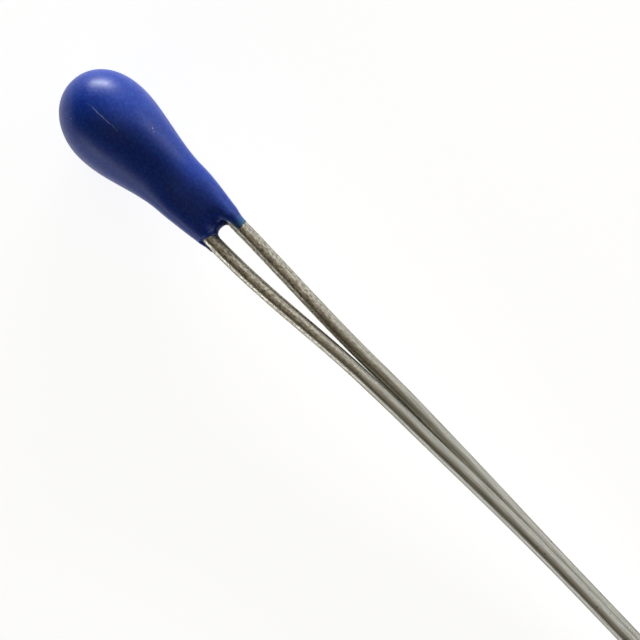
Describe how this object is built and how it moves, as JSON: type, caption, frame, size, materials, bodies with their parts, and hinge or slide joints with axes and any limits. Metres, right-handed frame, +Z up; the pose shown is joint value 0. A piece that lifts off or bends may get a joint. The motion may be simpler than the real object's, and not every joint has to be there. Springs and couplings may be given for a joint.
{
  "type": "bead thermistor",
  "caption": "Blue epoxy-dipped bead thermistor: a drop-shaped body with long bare tinned wires that draw together and cross, for sensing temperature in a circuit.",
  "frame": {"origin": "below the middle of the whole part, on the surface that it lies on", "axes": "+X from the bead to the free ends of the wires, +Z up from the surface that it lies on"},
  "size_m": [0.045, 0.0032, 0.0031],
  "materials": {
    "blue_epoxy": "glossy, dip-coated and cured",
    "sintered_oxide": "matt, sintered and diced",
    "fired_silver": "matt, printed and fired",
    "solder": "satin, flowed",
    "tinned_copper": "satin, drawn and hot-tinned"
  },
  "bodies": {
    "root": {"epoxy_coating": "blue_epoxy", "thermistor_chip": "sintered_oxide", "electrode_a": "fired_silver", "electrode_b": "fired_silver", "solder_joint_a": "solder", "solder_joint_b": "solder", "lead_a": "tinned_copper", "lead_b": "tinned_copper"}
  },
  "joints": []
}
